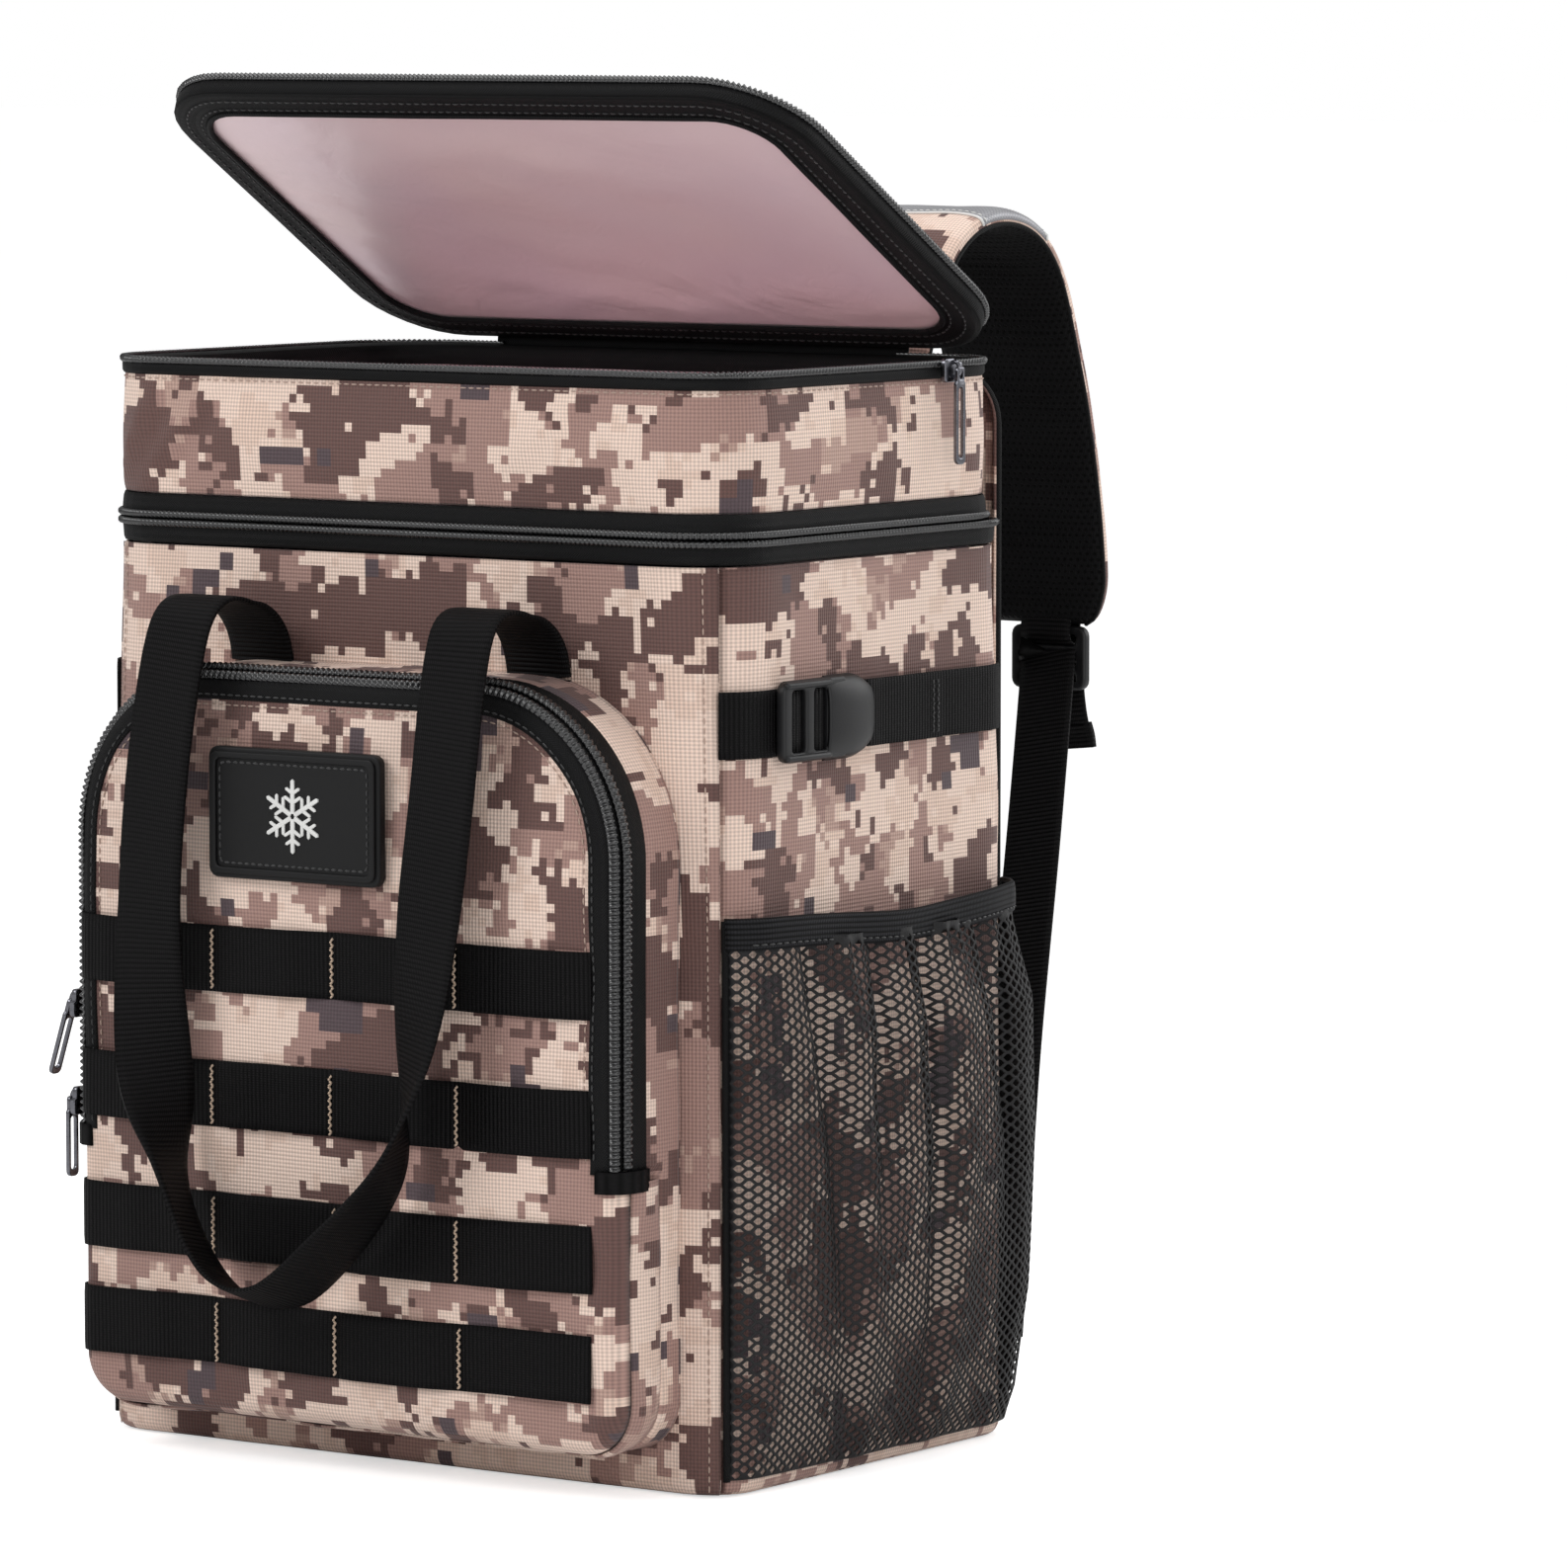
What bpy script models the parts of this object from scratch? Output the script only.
"""Insulated cooler backpack with a zipped upper deck, hinged lid, front pocket, tote handle and
shoulder straps.  Metres, +Z up.  Origin: centre of the underside of the base.  X is the width,
the front pocket faces -Y and the shoulder straps stand behind the back at +Y.  In piece names
"left" is -X.  Empties named axis_* stand on the joints that their children turn about."""
import bpy
import bmesh
from math import pi, sin, cos, radians
from mathutils import Vector, Matrix
from numpy import interp

# ---------------------------------------------------------------- driving dimensions
WIDTH = 0.300
DEPTH = 0.200
GAP = 0.0004            # clearance between neighbouring layers
SHELL_T = 0.0014        # coated outer fabric with its seam allowance
FOAM_T = 0.0060         # closed-cell foam
LINER_T = 0.0008        # welded PEVA lining
BOTTOM_T = 0.0040       # bottom panel

BODY_Z0 = BOTTOM_T + GAP
BODY_TOP = 0.3490       # top of the lower body, where the main zipper starts
DECK_Z0 = 0.3690        # top of the main zipper band, where the upper deck starts
MAIN_ZIP_Z = (BODY_TOP + DECK_Z0) / 2
RIM_Z = 0.4150          # top of the deck wall, where the rim zipper starts
RIM_TOP = 0.4205        # top of the rim zipper
DECK_BACK = 0.0935      # rear face of the deck wall, clear of the back panel

BASE_RADIUS = 0.0210    # plan corner radius at the base
TOP_RADIUS = 0.030      # plan corner radius at the zipper band and above
# height, plan corner radius of the lower body
RADIUS_LEVELS = ((BODY_Z0, BASE_RADIUS), (0.2000, 0.0225), (0.2900, 0.0270),
                 (BODY_TOP, TOP_RADIUS))

WEB_25 = 0.0254         # webbing widths
WEB_30 = 0.0300
SIDES = (("left", -1), ("right", 1))

# ---------------------------------------------------------------- scene and materials
for ob in list(bpy.data.objects):
    bpy.data.objects.remove(ob, do_unlink=True)

PARTS = bpy.data.collections.new("cooler_backpack")
bpy.context.scene.collection.children.link(PARTS)


def make_material(name, colour, roughness, metallic=0.0):
    made = bpy.data.materials.new(name)
    made.use_nodes = True
    shader = made.node_tree.nodes["Principled BSDF"]
    shader.inputs["Base Color"].default_value = (*colour, 1.0)
    shader.inputs["Roughness"].default_value = roughness
    shader.inputs["Metallic"].default_value = metallic
    return made


CAMO = make_material("camo_fabric", colour=(0.33, 0.28, 0.25), roughness=0.85)
BLACK = make_material("black_webbing", colour=(0.02, 0.02, 0.022), roughness=0.8)
MESH = make_material("black_mesh", colour=(0.025, 0.025, 0.028), roughness=0.7)
PEVA = make_material("silver_lining", colour=(0.62, 0.58, 0.58), roughness=0.35)
FOAM = make_material("white_foam", colour=(0.85, 0.85, 0.83), roughness=0.9)
PLASTIC = make_material("black_plastic", colour=(0.02, 0.02, 0.02), roughness=0.45)
STEEL = make_material("gunmetal", colour=(0.12, 0.12, 0.13), roughness=0.3, metallic=1.0)
REFLECT = make_material("reflective_tape", colour=(0.45, 0.45, 0.46), roughness=0.5)
PVC = make_material("rubber_patch", colour=(0.03, 0.03, 0.032), roughness=0.6)

# ---------------------------------------------------------------- objects and joints
PIVOT_PLACES = {}       # world position of each pivot, by name


def origin_of(parent):
    """World origin for a piece: its parent pivot, or the scene origin."""
    return Vector(PIVOT_PLACES[parent.name]) if parent else Vector((0, 0, 0))


def add(name, mesh, material, parent=None, location=(0, 0, 0)):
    ob = bpy.data.objects.new(name, mesh)
    mesh.materials.clear()
    mesh.materials.append(material)
    PARTS.objects.link(ob)
    ob.parent = parent
    ob.location = location
    return ob


def pivot(name, place, parent=None):
    """An empty on a joint axis, placed in world coordinates."""
    empty = bpy.data.objects.new(name, None)
    empty.empty_display_size = 0.02
    PARTS.objects.link(empty)
    PIVOT_PLACES[empty.name] = place
    empty.parent = parent
    empty.location = Vector(place) - origin_of(parent)
    return empty


def add_bevel(ob, width):
    modifier = ob.modifiers.new("Bevel", 'BEVEL')
    modifier.width = width
    modifier.segments = 1
    modifier.limit_method = 'ANGLE'
    modifier.angle_limit = radians(40)
    modifier.use_clamp_overlap = True


def add_solidify(ob, thickness, offset=-1.0, even=True):
    modifier = ob.modifiers.new("Solidify", 'SOLIDIFY')
    modifier.thickness = thickness
    modifier.offset = offset
    modifier.use_even_offset = even


# ---------------------------------------------------------------- outlines and paths
def rounded(x0, x1, y0, y1, radii, segments=6):
    """Counter-clockwise rounded rectangle; radii for corners (x0,y0), (x1,y0), (x1,y1), (x0,y1)."""
    # corner, then the signs that lead from it towards the middle
    corners = ((x0, y0, 1, 1), (x1, y0, -1, 1), (x1, y1, -1, -1), (x0, y1, 1, -1))
    points = []
    for k, ((x, y, sign_x, sign_y), radius) in enumerate(zip(corners, radii)):
        if radius <= 0:
            points.append((x, y))
            continue
        for i in range(segments + 1):
            angle = radians(180 + 90.0 * (k + i / segments))
            points.append((x + sign_x * radius + radius * cos(angle),
                           y + sign_y * radius + radius * sin(angle)))
    return points


def plan(inset=0.0, back=DEPTH / 2, radius=TOP_RADIUS):
    """Plan outline of the bag, moved inwards by inset."""
    radius = max(radius - inset, 0.004)
    return rounded(-WIDTH / 2 + inset, WIDTH / 2 - inset, -DEPTH / 2 + inset, back - inset,
                   (radius,) * 4)


def wrap(side, z, clearance, along):
    """Point outside the side wall, a distance along it from y = 0, carried round the corners."""
    radius = interp(z, *zip(*RADIUS_LEVELS))
    straight = DEPTH / 2 - radius
    x, y = WIDTH / 2 + clearance, along
    if abs(along) > straight:
        angle = (abs(along) - straight) / radius
        x = WIDTH / 2 - radius + (radius + clearance) * cos(angle)
        y = (1 if along > 0 else -1) * (straight + (radius + clearance) * sin(angle))
    return (side * x, y, z)


def wrapped_row(side, z, start, end, steps, clearance, bulge=0.0):
    """Row of points along the side wall, bulging between its ends and fuller towards the rear."""
    row = []
    for j in range(steps + 1):
        u = j / steps
        belly = sin(pi * u) ** 0.6 * (0.75 + 0.5 * u)
        row.append(wrap(side, z, clearance + bulge * belly, start + (end - start) * j / steps))
    return row


def smooth_path(controls, steps):
    """Catmull-Rom points through the control points."""
    points = [Vector(p) for p in controls]
    points = [points[0] * 2 - points[1]] + points + [points[-1] * 2 - points[-2]]
    spans = len(points) - 3
    path = []
    for i in range(steps + 1):
        u = i / steps * spans
        k = min(int(u), spans - 1)
        t = u - k
        a, b, c, d = points[k:k + 4]
        path.append(0.5 * ((2 * b) + (c - a) * t + (2 * a - 5 * b + 4 * c - d) * t * t
                           + (3 * b - a - 3 * c + d) * t ** 3))
    return path


def tangents(path):
    last = len(path) - 1
    return [(path[min(i + 1, last)] - path[max(i - 1, 0)]).normalized() for i in range(last + 1)]


def across(point, half_width, steps=(-1, 0, 1), direction=(1, 0, 0)):
    """Row of points across a strap."""
    return [Vector(point) + Vector(direction) * half_width * step for step in steps]


def ribbon(path, half_width, steps=(-1, 0, 1)):
    """Rows of a strap of constant width that spans X."""
    return [across(point, half_width, steps) for point in path]


# ---------------------------------------------------------------- mesh builders
def finish(bm, name):
    mesh = bpy.data.meshes.new(name)
    bm.to_mesh(mesh)
    bm.free()
    return mesh


def face_outwards(bm, axis, sign):
    """Turn all faces over if the outermost one along an axis looks inwards."""
    outermost = max(bm.faces, key=lambda face: sign * face.calc_center_median()[axis])
    if sign * outermost.normal[axis] < 0:
        bmesh.ops.reverse_faces(bm, faces=list(bm.faces))


def bridge(bm, lower, upper):
    """Quads between two rings of vertices."""
    count = len(lower)
    for i in range(count):
        following = (i + 1) % count
        bm.faces.new((lower[i], lower[following], upper[following], upper[i]))


# An outline is drawn as (x, y) for axis Z, (x, z) for axis Y and (y, z) for axis X
AXIS_VECTOR = {'X': Vector((1, 0, 0)), 'Y': Vector((0, 1, 0)), 'Z': Vector((0, 0, 1))}
AXIS_TURN = {'X': Matrix(((0, 0, 1, 0), (1, 0, 0, 0), (0, 1, 0, 0), (0, 0, 0, 1))),
             'Y': Matrix.Rotation(pi / 2, 4, 'X'),
             'Z': Matrix.Identity(4)}


def flat(name, loops, low, high, material, axis='Z', parent=None, bevel=0.0):
    """A flat outline with optional holes, extruded from low to high along an axis."""
    curve = bpy.data.curves.new(name, 'CURVE')
    curve.dimensions = '2D'
    curve.fill_mode = 'BOTH'
    curve.extrude = (high - low) / 2
    for points in loops:
        spline = curve.splines.new('POLY')
        spline.points.add(len(points) - 1)
        for point, (a, b) in zip(spline.points, points):
            point.co = (a, b, 0, 1)
        spline.use_cyclic_u = True
    outline = bpy.data.objects.new(name + "_outline", curve)
    bpy.context.scene.collection.objects.link(outline)
    bpy.context.view_layer.update()
    evaluated = outline.evaluated_get(bpy.context.evaluated_depsgraph_get())
    mesh = bpy.data.meshes.new_from_object(evaluated)
    bpy.data.objects.remove(outline, do_unlink=True)
    mesh.name = name

    # the caps come unwelded from the walls
    bm = bmesh.new()
    bm.from_mesh(mesh)
    bmesh.ops.remove_doubles(bm, verts=bm.verts, dist=0.00002)
    place = AXIS_VECTOR[axis] * ((low + high) / 2)
    bm.transform(Matrix.Translation(place) @ AXIS_TURN[axis])
    bmesh.ops.recalc_face_normals(bm, faces=bm.faces)
    if bm.calc_volume(signed=True) < 0:
        bmesh.ops.reverse_faces(bm, faces=list(bm.faces))
    bm.to_mesh(mesh)
    bm.free()
    mesh.transform(Matrix.Translation(-origin_of(parent)))
    ob = add(name, mesh, material, parent)
    if bevel:
        add_bevel(ob, bevel)
    return ob


def sheet(name, rows, thickness, material, parent=None, offset=0.0):
    """A curved sheet through rows of points, thickened with Solidify."""
    bm = bmesh.new()
    bmesh.ops.create_grid(bm, x_segments=len(rows[0]) - 1, y_segments=len(rows) - 1, size=0.5)
    origin = origin_of(parent)
    by_row = sorted(bm.verts, key=lambda vert: (round(vert.co.y, 5), round(vert.co.x, 5)))
    for vert, point in zip(by_row, [point for row in rows for point in row]):
        vert.co = Vector(point) - origin
    add_solidify(add(name, finish(bm, name), material, parent), thickness, offset)


def tub(name, outline, floor_z, levels, thickness, material, parent=None):
    """An open-topped box of sheet material, thickened inwards.  The walls rise from the floor
    outline through levels, which are (z, outline) pairs."""
    bm = bmesh.new()
    origin = origin_of(parent)
    rings = [[bm.verts.new(Vector((x, y, z)) - origin) for x, y in points]
             for z, points in [(floor_z, outline)] + levels]
    bm.faces.new(rings[0]).normal_flip()
    for lower, upper in zip(rings[:-1], rings[1:]):
        bridge(bm, lower, upper)
    bmesh.ops.recalc_face_normals(bm, faces=bm.faces)
    bm.normal_update()
    face_outwards(bm, axis=2, sign=-1)
    add_solidify(add(name, finish(bm, name), material, parent), thickness)


def block(name, low, high, material, bevel, parent=None):
    """A bevelled box between two corners; without a parent its origin is its centre."""
    low, high = Vector(low), Vector(high)
    size, centre = high - low, (low + high) / 2
    origin = origin_of(parent) if parent else centre
    bm = bmesh.new()
    bmesh.ops.create_cube(bm, size=1.0)
    for vert in bm.verts:
        vert.co = vert.co * size + centre - origin
    ob = add(name, finish(bm, name), material, parent, (0, 0, 0) if parent else centre)
    add_bevel(ob, bevel)
    return ob


# the vector product above is per component
def box_around(centre, half):
    """Low and high corners of a box given its centre and half sizes."""
    return (tuple(c - h for c, h in zip(centre, half)), tuple(c + h for c, h in zip(centre, half)))


# ================================================================ main body
BOARD_T = 0.0025
ZIP_PROUD = 0.0006      # how far the zipper bands stand out from the wall
ZIP_INSET = 0.0012      # inner edge of the main zipper bands
FOAM_INSET = SHELL_T + GAP
LINER_INSET = FOAM_INSET + FOAM_T + GAP
BOARD_INSET = LINER_INSET + LINER_T + 0.0008
BOARD_Z0 = BODY_Z0 + LINER_INSET + LINER_T + GAP

# name, inset from the outside, drop of the top edge, thickness, material
BODY_TUBS = (("body_shell", 0.0, 0.0, SHELL_T, CAMO),
             ("foam_tub", FOAM_INSET, 0.0015, FOAM_T, FOAM),
             ("liner_tub", LINER_INSET, 0.0010, LINER_T, PEVA))

flat("bottom_panel", [plan(0.004, radius=BASE_RADIUS)], 0.0, BOTTOM_T, BLACK)
for name, inset, drop, thickness, material in BODY_TUBS:
    levels = [(z if z < BODY_TOP else BODY_TOP - drop, plan(inset, radius=radius))
              for z, radius in RADIUS_LEVELS[1:]]
    tub(name, plan(inset, radius=BASE_RADIUS), BODY_Z0 + inset, levels, thickness, material)
flat("base_board", [plan(BOARD_INSET, radius=BASE_RADIUS)], BOARD_Z0, BOARD_Z0 + BOARD_T, PLASTIC)
flat("main_zip_lower", [plan(-ZIP_PROUD, DEPTH / 2 - 0.0008), plan(ZIP_INSET)],
     BODY_TOP + GAP, MAIN_ZIP_Z - GAP / 2, BLACK)

# ---------------------------------------------------------------- back panel and pad
PANEL_Y0 = DEPTH / 2 + GAP
PANEL_Y1 = PANEL_Y0 + 0.0040
PAD_Y0 = PANEL_Y1 + GAP
PAD_Y1 = 0.1140
PANEL_OUTLINE = rounded(-0.1380, 0.1380, 0.0120, 0.4150, (0.02, 0.02, 0.030, 0.030), 5)
PAD_OUTLINE = rounded(-0.1120, 0.1120, 0.0500, 0.3660, (0.02,) * 4, 4)

flat("back_panel", [PANEL_OUTLINE], PANEL_Y0, PANEL_Y1, CAMO, axis='Y')
flat("back_pad", [PAD_OUTLINE], PAD_Y0, PAD_Y1, MESH, axis='Y', bevel=0.004)

# ---------------------------------------------------------------- upper deck
# It swings up about its rear top edge.
DECK_AXIS = (0.0, 0.0980, RIM_Z)
DECK_FOAM_T = 0.0045
DECK_FOAM_Z0 = 0.3700
DECK_LINER_Z0 = 0.3640
RIM_ZIP_INSET = 0.0040

deck = pivot("axis_deck", DECK_AXIS)
# name, outer inset, inner inset, bottom, top, material
DECK_RINGS = (
    ("main_zip_upper", -ZIP_PROUD, ZIP_INSET, MAIN_ZIP_Z + GAP / 2, DECK_Z0 - GAP, BLACK),
    ("deck_shell", 0.0, SHELL_T, DECK_Z0, RIM_Z, CAMO),
    ("deck_foam", FOAM_INSET, FOAM_INSET + DECK_FOAM_T, DECK_FOAM_Z0, RIM_Z, FOAM),
    ("rim_zip", -ZIP_PROUD, RIM_ZIP_INSET, RIM_Z + GAP, RIM_TOP, BLACK))
for name, outer, inner, low, high, material in DECK_RINGS:
    flat(name, [plan(outer, DECK_BACK), plan(inner, DECK_BACK)], low, high, material, parent=deck)
liner_outline = plan(FOAM_INSET + DECK_FOAM_T + GAP, DECK_BACK)
tub("deck_liner", liner_outline, DECK_LINER_Z0, [(RIM_Z, liner_outline)], LINER_T, PEVA, deck)

# ---------------------------------------------------------------- lid
# Its pieces are modelled closed, with the hinge as origin, and then turned open.
LID_AXIS = (0.0, 0.0945, RIM_TOP + 0.0010)
LID_REST = 31.0         # opening at rest, degrees
LID_Z0 = 0.4225         # underside when closed
LID_MARGIN = 0.001      # lid edge inside the body outline
LID_BACK = 0.0930
LID_RADIUS = 0.038      # front corners; the rear ones are 0.8 of it
# name, insets of the outline and any hole, thickness, material; from the underside up
LID_LAYERS = (("lid_zip", (0.0, 0.0200), 0.0012, BLACK),
              ("lid_liner", (0.0130,), LINER_T, PEVA),
              ("lid_foam", (0.0160,), 0.0040, FOAM))
# inset, height of the rings of the crowned cover
LID_CROWN = ((0.0, 0.4245), (0.0008, 0.4275), (0.006, 0.4318),
             (0.020, 0.4352), (0.045, 0.4378), (0.070, 0.4388))

lid = pivot("axis_lid", LID_AXIS, deck)


def lid_plan(inset):
    radius = max(LID_RADIUS - inset, 0.006)
    edge = LID_MARGIN + inset
    return rounded(-WIDTH / 2 + edge, WIDTH / 2 - edge, -DEPTH / 2 + edge, LID_BACK - inset,
                   (radius, radius, radius * 0.8, radius * 0.8))


def lid_shell():
    """Crowned cover: rings of the lid outline shrinking towards the middle as they rise."""
    bm = bmesh.new()
    origin = Vector(LID_AXIS)
    rings = [[bm.verts.new(Vector((x, y, z)) - origin) for x, y in lid_plan(inset)]
             for inset, z in LID_CROWN]
    for lower, upper in zip(rings[:-1], rings[1:]):
        bridge(bm, lower, upper)
    bm.faces.new(rings[-1])
    bmesh.ops.recalc_face_normals(bm, faces=bm.faces)
    face_outwards(bm, axis=2, sign=1)
    ob = add("lid_shell", finish(bm, "lid_shell"), CAMO, lid)
    add_solidify(ob, thickness=0.0013, even=False)
    return ob


lid_pieces = [lid_shell()]
low = LID_Z0
for name, insets, thickness, material in LID_LAYERS:
    loops = [lid_plan(inset) for inset in insets]
    lid_pieces.append(flat(name, loops, low, low + thickness, material, parent=lid))
    low += thickness + GAP
for piece in lid_pieces:
    piece.rotation_euler = (-radians(LID_REST), 0, 0)

# ---------------------------------------------------------------- front pocket
POCKET_HALF_W = 0.1285
POCKET_Z0 = 0.018
POCKET_Z1 = 0.305
POCKET_RADIUS = 0.065   # top corners
POCKET_FOOT_R = 0.020   # bottom corners
POCKET_WALL = 0.0022
FLAP_Z = 0.1225         # fold line of the pocket front
FLAP_AXIS = (0.0, -0.1400, FLAP_Z)
FLAP_Z0 = 0.1242        # bottom edge of the flap
ZIP_ARCH_Z0 = 0.1250    # lower ends of the pocket zipper
ZIP_ARCH_INSET = 0.0002
ZIP_ARCH_T = 0.0016

# layers in Y, from the body forwards
GUSSET_BACK = -DEPTH / 2 - GAP
GUSSET_FRONT = -0.1122
ZIP_BODY_BACK = GUSSET_FRONT - GAP
ZIP_BODY_FRONT = -0.1206
ZIP_FLAP_BACK = ZIP_BODY_FRONT - GAP
ZIP_FLAP_FRONT = -0.1296
FLAP_BACK = ZIP_FLAP_FRONT - GAP
POCKET_FRONT = -0.1392
TRIM_BACK = POCKET_FRONT - GAP

MOLLE_Z = (0.1955, 0.1435, 0.0925, 0.0515)  # webbing rows; the first two lie on the flap
MOLLE_HALF_W = 0.1260
MOLLE_T = 0.0016
PATCH_T = 0.0056
PATCH_OUTLINE = rounded(-0.0560, 0.0260, 0.2270, 0.2770, (0.008,) * 4, 4)


def pocket_outline(inset, bottom, foot_radius):
    radius = POCKET_RADIUS - inset
    return rounded(-POCKET_HALF_W + inset, POCKET_HALF_W - inset, bottom, POCKET_Z1 - inset,
                   (foot_radius, foot_radius, radius, radius), 8)


def zip_arch():
    """Inverted U over the pocket."""
    outer = pocket_outline(ZIP_ARCH_INSET, ZIP_ARCH_Z0, 0)
    inner = pocket_outline(ZIP_ARCH_INSET + ZIP_ARCH_T, ZIP_ARCH_Z0, 0)
    # up from the lower right and over to the lower left, then back along the inner outline
    return outer[1:] + [outer[0]] + (inner[1:] + [inner[0]])[::-1]


def pocket_tray():
    """Lower pocket front with its sides and bottom turned back to the gusset, open at the top."""
    top = FLAP_Z - 0.0010
    outline = rounded(-POCKET_HALF_W, POCKET_HALF_W, POCKET_Z0, top,
                      (POCKET_FOOT_R, POCKET_FOOT_R, 0, 0), 6)
    bm = bmesh.new()
    front = bm.faces.new([bm.verts.new((x, POCKET_FRONT, z)) for x, z in outline])
    front.normal_update()
    edges = [edge for edge in front.edges
             if not all(abs(vert.co.z - top) < 1e-6 for vert in edge.verts)]
    extruded = bmesh.ops.extrude_edge_only(bm, edges=edges)["geom"]
    back = [item for item in extruded if isinstance(item, bmesh.types.BMVert)]
    bmesh.ops.translate(bm, verts=back, vec=(0, ZIP_BODY_BACK - POCKET_FRONT, 0))
    bmesh.ops.recalc_face_normals(bm, faces=bm.faces)
    face_outwards(bm, axis=1, sign=-1)
    ob = add("pocket_front_lower", finish(bm, "pocket_front_lower"), CAMO)
    add_solidify(ob, POCKET_WALL)


gusset = [pocket_outline(0, POCKET_Z0, POCKET_FOOT_R),
          pocket_outline(POCKET_WALL, POCKET_Z0 + POCKET_WALL, 0.018)]
flat("pocket_gusset", gusset, GUSSET_FRONT, GUSSET_BACK, CAMO, axis='Y')
flat("pocket_zip_body", [zip_arch()], ZIP_BODY_FRONT, ZIP_BODY_BACK, BLACK, axis='Y')
pocket_tray()

flap = pivot("axis_pocket_flap", FLAP_AXIS)
flat("pocket_zip_flap", [zip_arch()], ZIP_FLAP_FRONT, ZIP_FLAP_BACK, BLACK, 'Y', flap)
flat("pocket_flap", [pocket_outline(0, FLAP_Z0, 0)], POCKET_FRONT, FLAP_BACK, CAMO, 'Y', flap)
flat("patch", [PATCH_OUTLINE], TRIM_BACK - PATCH_T, TRIM_BACK, PVC, 'Y', flap, bevel=0.001)
for k, z in enumerate(MOLLE_Z):
    block("molle_row_%d" % (k + 1), (-MOLLE_HALF_W, TRIM_BACK - MOLLE_T, z - WEB_25 / 2),
          (MOLLE_HALF_W, TRIM_BACK, z + WEB_25 / 2), BLACK, bevel=0.0005,
          parent=flap if k < 2 else None)

# ---------------------------------------------------------------- tote handle
# Two sewn roots and tabs carry one hanging loop of webbing.
HANDLE_CREST = (0.0, -0.1280, 0.3300)   # the webbing rises from its root and bends over here
HANDLE_FOLD = (0.0, -0.1500, 0.3240)
HANDLE_X = 0.066
HANDLE_T = 0.0018
LOOP_BOTTOM = 0.069                     # height of the lowest part of the loop
LOOP_GRIP_HALF = 0.010                  # half width there
LOOP_TAPER = 0.04                       # height over which it widens to full webbing
# y, z along each root and tab
ROOT = ((-0.1030, 0.3160), (-0.1090, 0.3215), (-0.1170, 0.3265), (-0.1262, 0.3296))
TAB = ((-0.1292, 0.3301), (-0.1340, 0.3302), (-0.1390, 0.3298), (-0.1440, 0.3282),
       (-0.1488, 0.3252))
# x, y, z of the loop centre line: down the left, round the bottom, up the right
LOOP = ((-0.0660, -0.1520, 0.3200), (-0.0680, -0.1560, 0.2900), (-0.0700, -0.1575, 0.2500),
        (-0.0730, -0.1575, 0.1750), (-0.0680, -0.1575, 0.1150), (-0.0480, -0.1575, 0.0820),
        (-0.0150, -0.1575, 0.0690), (0.0180, -0.1575, 0.0820), (0.0430, -0.1575, 0.1150),
        (0.0560, -0.1575, 0.1750), (0.0640, -0.1575, 0.2500), (0.0655, -0.1560, 0.2900),
        (0.0660, -0.1520, 0.3200))


def handle_loop_rows():
    """Rows across the loop; the width turns with the path and narrows at the bottom."""
    path = smooth_path(LOOP, 36)
    rows = []
    for point, tangent in zip(path, tangents(path)):
        rise = min(abs(point.z - LOOP_BOTTOM) / LOOP_TAPER, 1.0)
        half = LOOP_GRIP_HALF + (WEB_30 / 2 - LOOP_GRIP_HALF) * rise
        rows.append(across(point, half, direction=tangent.cross(Vector((0, 1, 0))).normalized()))
    return rows


tabs = pivot("axis_handle_tabs", HANDLE_CREST)
for side, sign in SIDES:
    for name, stations, parent in (("handle_tab_", TAB, tabs), ("handle_root_", ROOT, None)):
        rows = ribbon([(sign * HANDLE_X, y, z) for y, z in stations], WEB_30 / 2)
        sheet(name + side, rows, HANDLE_T, BLACK, parent)
loop_axis = pivot("axis_tote_handle", HANDLE_FOLD, tabs)
sheet("tote_handle", handle_loop_rows(), HANDLE_T, BLACK, loop_axis)

# ---------------------------------------------------------------- zipper sliders and pulls
SLIDER_HALF_X = 0.0022
PULL_STANDOFF = 0.0021  # from the slider face to the pull's pin line
PULL_HALF_T = 0.0009
PULL_HALF_W = 0.0026
BAND_SLIDER_X = WIDTH / 2 + 0.0034
POCKET_SLIDER_X = POCKET_HALF_W + 0.0040
# name ending, parent, outward sign in X, centre distance in X, centre y, centre z,
# half size y, half size z, drop of the pull, outward tilt of the pull in degrees
SLIDERS = (
    ("rim_%s", deck, 1, BAND_SLIDER_X, 0.0450, 0.4178, 0.0060, 0.0050, 0.036, 0.0),
    ("main_%s", None, -1, BAND_SLIDER_X, 0.0450, MAIN_ZIP_Z, 0.0060, 0.0050, 0.036, 0.0),
    ("pocket_%s_a", None, -1, POCKET_SLIDER_X, -0.1320, 0.1720, 0.0045, 0.0055, 0.030, 18.0),
    ("pocket_%s_b", None, -1, POCKET_SLIDER_X, -0.1320, 0.1340, 0.0045, 0.0055, 0.030, 0.0))

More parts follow.
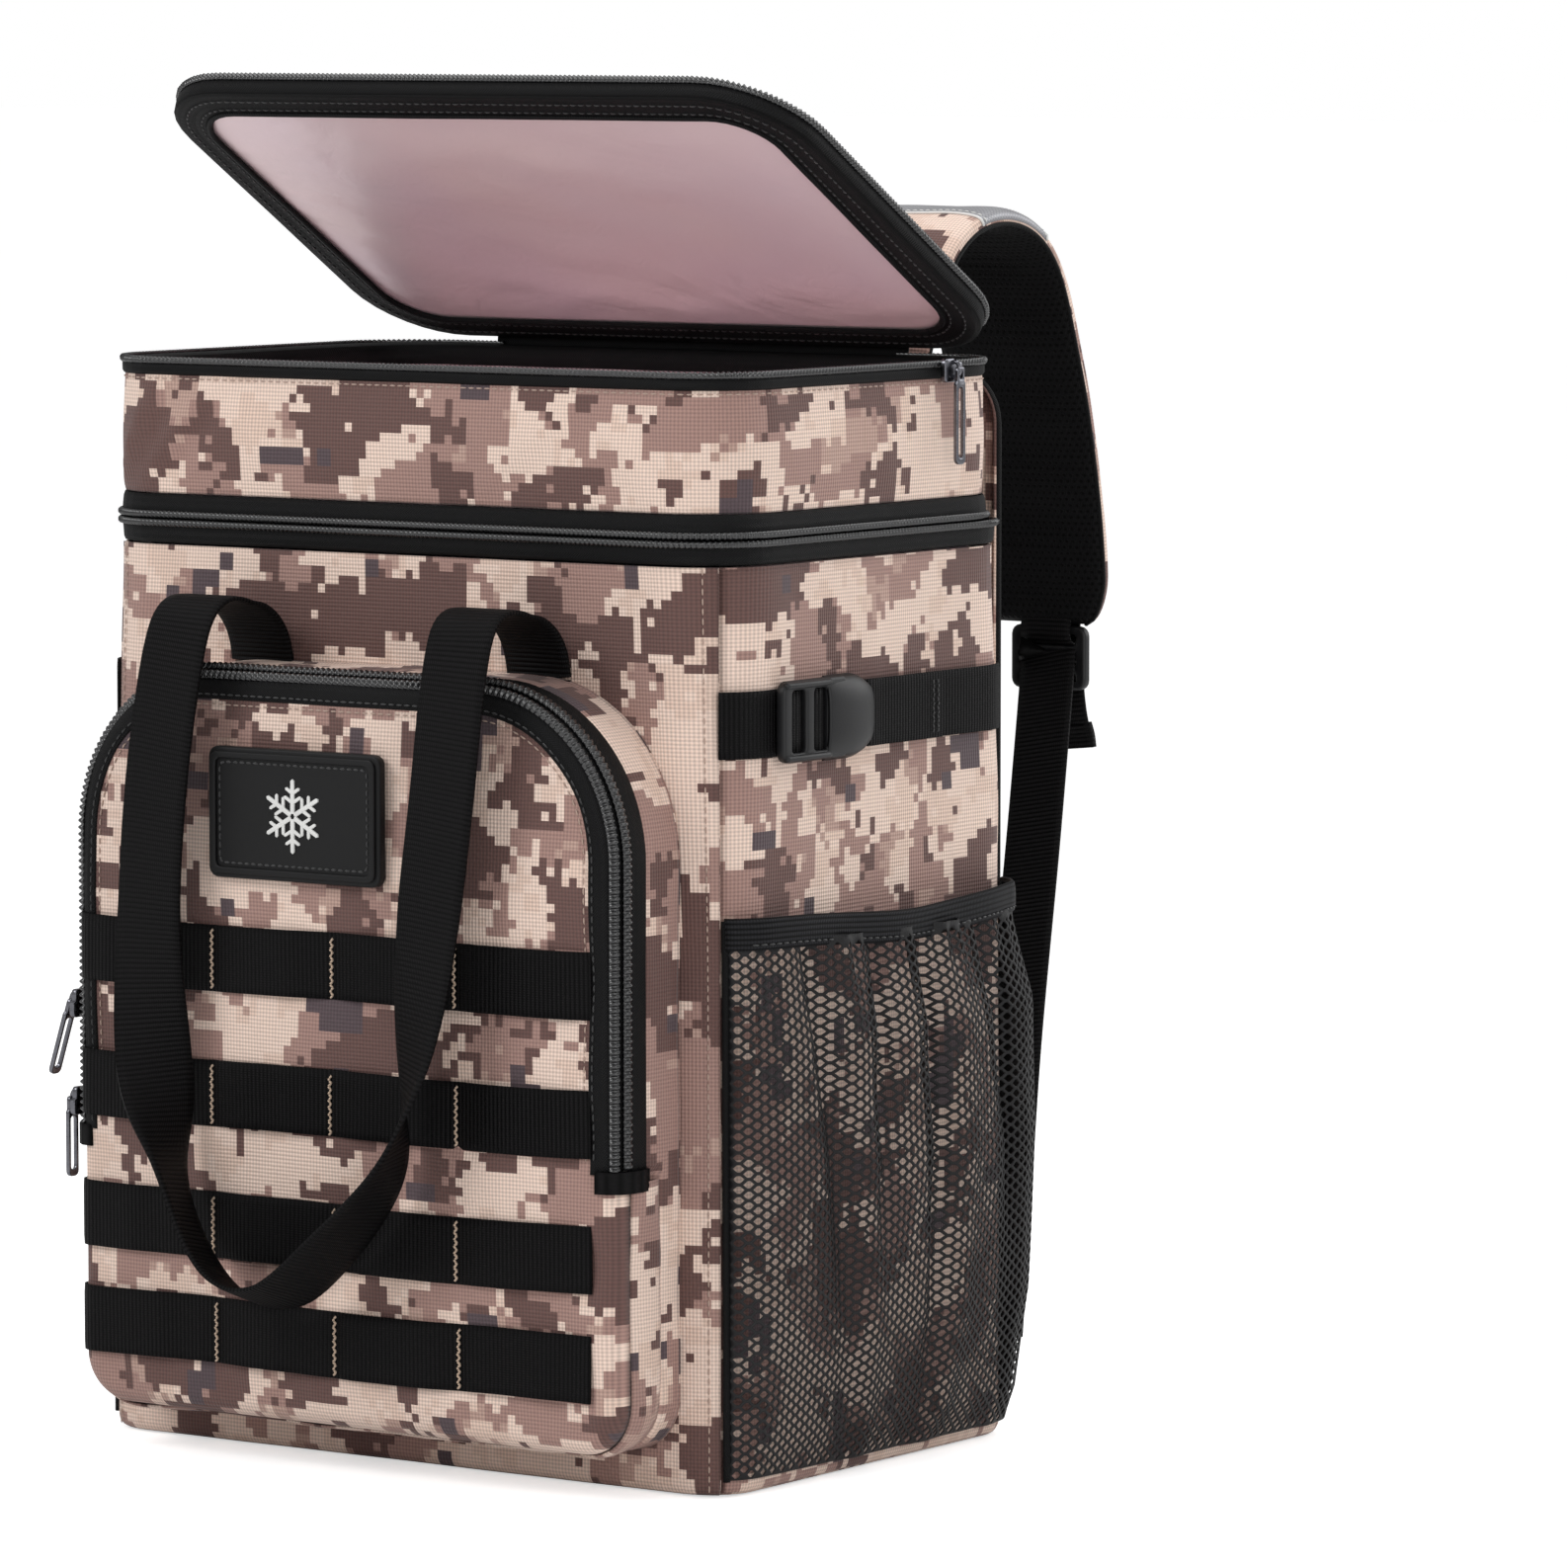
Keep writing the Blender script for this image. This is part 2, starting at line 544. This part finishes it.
for name, parent, outward, distance, y, z, half_y, half_z, drop, tilt in SLIDERS:
    slider_name, pull_name = name % "slider", name % "pull"
    centre = (outward * distance, y, z)
    slider_axis = pivot("axis_" + slider_name, centre, parent)
    block(slider_name, *box_around(centre, (SLIDER_HALF_X, half_y, half_z)), STEEL,
          bevel=0.0006, parent=slider_axis)
    pull_x = outward * (distance + SLIDER_HALF_X + PULL_STANDOFF)
    pull_axis = pivot("axis_" + pull_name, (pull_x, y, z - 0.001), slider_axis)
    pull = block(pull_name, (pull_x - PULL_HALF_T, y - PULL_HALF_W, z - drop),
                 (pull_x + PULL_HALF_T, y + PULL_HALF_W, z + 0.0010), STEEL,
                 bevel=0.0004, parent=pull_axis)
    pull.rotation_euler = (0, -outward * radians(tilt), 0)

# ---------------------------------------------------------------- sides
# Compression strap, buckle and mesh pocket.
STRAP_Z = (0.2775, 0.3030)
BUCKLE_AXIS = (WIDTH / 2 + 0.0032, -0.0716, 0.2900)
BUCKLE_X = (WIDTH / 2 + 0.0030, WIDTH / 2 + 0.0080)
BUCKLE_LOOPS = [rounded(-0.0712, -0.0100, 0.2750, 0.3055, (0.004, 0.012, 0.012, 0.004), 3),
                rounded(-0.0640, -0.0560, 0.2785, 0.3020, (0.001,) * 4, 1),
                rounded(-0.0500, -0.0430, 0.2785, 0.3020, (0.001,) * 4, 1)]
MESH_HALF = 0.0930      # half length along the wall
MESH_STEPS = 14
# height, bulge of the mesh pocket
MESH_LEVELS = ((0.0060, 0.0020), (0.0200, 0.0090), (0.0600, 0.0170),
               (0.1200, 0.0210), (0.1700, 0.0190), (0.2050, 0.0140))
BINDING_LEVELS = ((0.2062, 0.0134), (0.2180, 0.0134))

for side, sign in SIDES:
    rows = [wrapped_row(sign, z, -0.0940, 0.0900, steps=30, clearance=0.0018) for z in STRAP_Z]
    sheet("side_strap_" + side, rows, 0.0010, BLACK)

    buckle_axis = pivot("axis_side_buckle_" + side, (sign * BUCKLE_AXIS[0], *BUCKLE_AXIS[1:]))
    low, high = sorted(sign * x for x in BUCKLE_X)
    flat("side_buckle_" + side, BUCKLE_LOOPS, low, high, PLASTIC, axis='X', parent=buckle_axis)

    for name, levels, clearance, thickness, material in (
            ("mesh_pocket_", MESH_LEVELS, 0.0012, 0.0008, MESH),
            ("elastic_binding_", BINDING_LEVELS, 0.0016, 0.0018, BLACK)):
        rows = [wrapped_row(sign, z, -MESH_HALF, MESH_HALF, MESH_STEPS, clearance, bulge)
                for z, bulge in levels]
        sheet(name + side, rows, thickness, material)

# ---------------------------------------------------------------- shoulder straps
STRAP_X = 0.0670
STRAP_HALF_W = 0.0325
STRAP_T = 0.0090
STRAP_AXIS_Y = 0.1140
ROOT_HALF_W = 0.0320
ROOT_Y1 = 0.1090
ROOT_Z = (0.3720, 0.4188)
STRIP_HALF_W = 0.0125
STRIP_T = 0.0006
STRIP_LIFT = 0.0006     # height of the reflective strip over the pad
LOCK_X = 0.0720
LOCK_Y = (0.2385, 0.2435)
# half width, bottom, top, corner radius, corner segments: the ladder lock and its two slots
LOCK_LOOPS = ((0.0180, 0.2790, 0.3050, 0.004, 2),
              (0.0132, 0.2975, 0.3015, 0.0008, 1),
              (0.0132, 0.2840, 0.2920, 0.0008, 1))
# y, z along the pad, from its root over the crest and down
STRAP = ((0.1100, 0.4196), (0.1112, 0.4300), (0.1160, 0.4480), (0.1280, 0.4640),
         (0.1450, 0.4740), (0.1650, 0.4770), (0.1850, 0.4735), (0.2010, 0.4650),
         (0.2130, 0.4480), (0.2240, 0.4200), (0.2330, 0.3920), (0.2410, 0.3560),
         (0.2445, 0.3250), (0.2445, 0.3080))


def shoulder_strap(side, sign):
    strap_x = sign * STRAP_X
    block("strap_root_" + side, (strap_x - ROOT_HALF_W, PAD_Y0, ROOT_Z[0]),
          (strap_x + ROOT_HALF_W, ROOT_Y1, ROOT_Z[1]), MESH, bevel=0.001)
    axis = pivot("axis_shoulder_strap_" + side, (strap_x, STRAP_AXIS_Y, STRAP[0][1]))

    # the pad narrows over its last three rows
    path = smooth_path([(strap_x, y, z) for y, z in STRAP], 30)
    rows = [across(point, STRAP_HALF_W - 0.004 * max(i - 27, 0)) for i, point in enumerate(path)]
    sheet("shoulder_pad_" + side, rows, STRAP_T, MESH, axis, offset=-1.0)

    # reflective strip just clear of the upper face
    strip = path[10:17]
    lifted = [point + Vector((0, -tangent.z, tangent.y)) * STRIP_LIFT
              for point, tangent in zip(strip, tangents(strip))]
    sheet("reflective_strip_" + side, ribbon(lifted, STRIP_HALF_W, (-1, 1)), STRIP_T, REFLECT,
          axis, offset=1.0)

    # ladder lock at the lower end of the pad
    lock_x = sign * LOCK_X
    loops = [rounded(lock_x - half, lock_x + half, bottom, top, (radius,) * 4, segments)
             for half, bottom, top, radius, segments in LOCK_LOOPS]
    flat("ladder_lock_" + side, loops, *LOCK_Y, PLASTIC, axis='Y', parent=axis)

    # webbing from the bottom corner of the back up to the lock, sagging a little
    anchor = Vector((sign * 0.1330, 0.1085, 0.0330))
    end = Vector((sign * 0.0760, 0.2350, 0.2900))
    controls = [anchor,
                anchor.lerp(end, 0.33) + Vector((0, -0.004, -0.004)),
                anchor.lerp(end, 0.66) + Vector((0, 0.000, -0.003)),
                end]
    sheet("lower_webbing_" + side, ribbon(smooth_path(controls, 12), WEB_25 / 2, (-1, 1)),
          0.0016, BLACK, axis)


for side, sign in SIDES:
    shoulder_strap(side, sign)

# ---------------------------------------------------------------- haul handle
# It arches between the strap roots.
HAUL_AXIS = (0.0, 0.1085, 0.4190)
HAUL_FRONT, HAUL_REAR = -0.0010, 0.0130     # edges of the webbing in Y from the path
HAUL = ((-0.0240, 0.1085, 0.4194), (-0.0235, 0.1088, 0.4320), (-0.0150, 0.1092, 0.4440),
        (0.0, 0.1094, 0.4475), (0.0150, 0.1092, 0.4440), (0.0235, 0.1088, 0.4320),
        (0.0240, 0.1085, 0.4194))

haul = pivot("axis_haul_handle", HAUL_AXIS)
rows = [[point + Vector((0, edge, 0)) for edge in (HAUL_FRONT, HAUL_REAR)]
        for point in smooth_path(HAUL, 18)]
sheet("haul_handle", rows, 0.0018, BLACK, haul)

for ob in PARTS.objects:
    if ob.type == 'MESH':
        ob.data.set_sharp_from_angle(angle=radians(35))
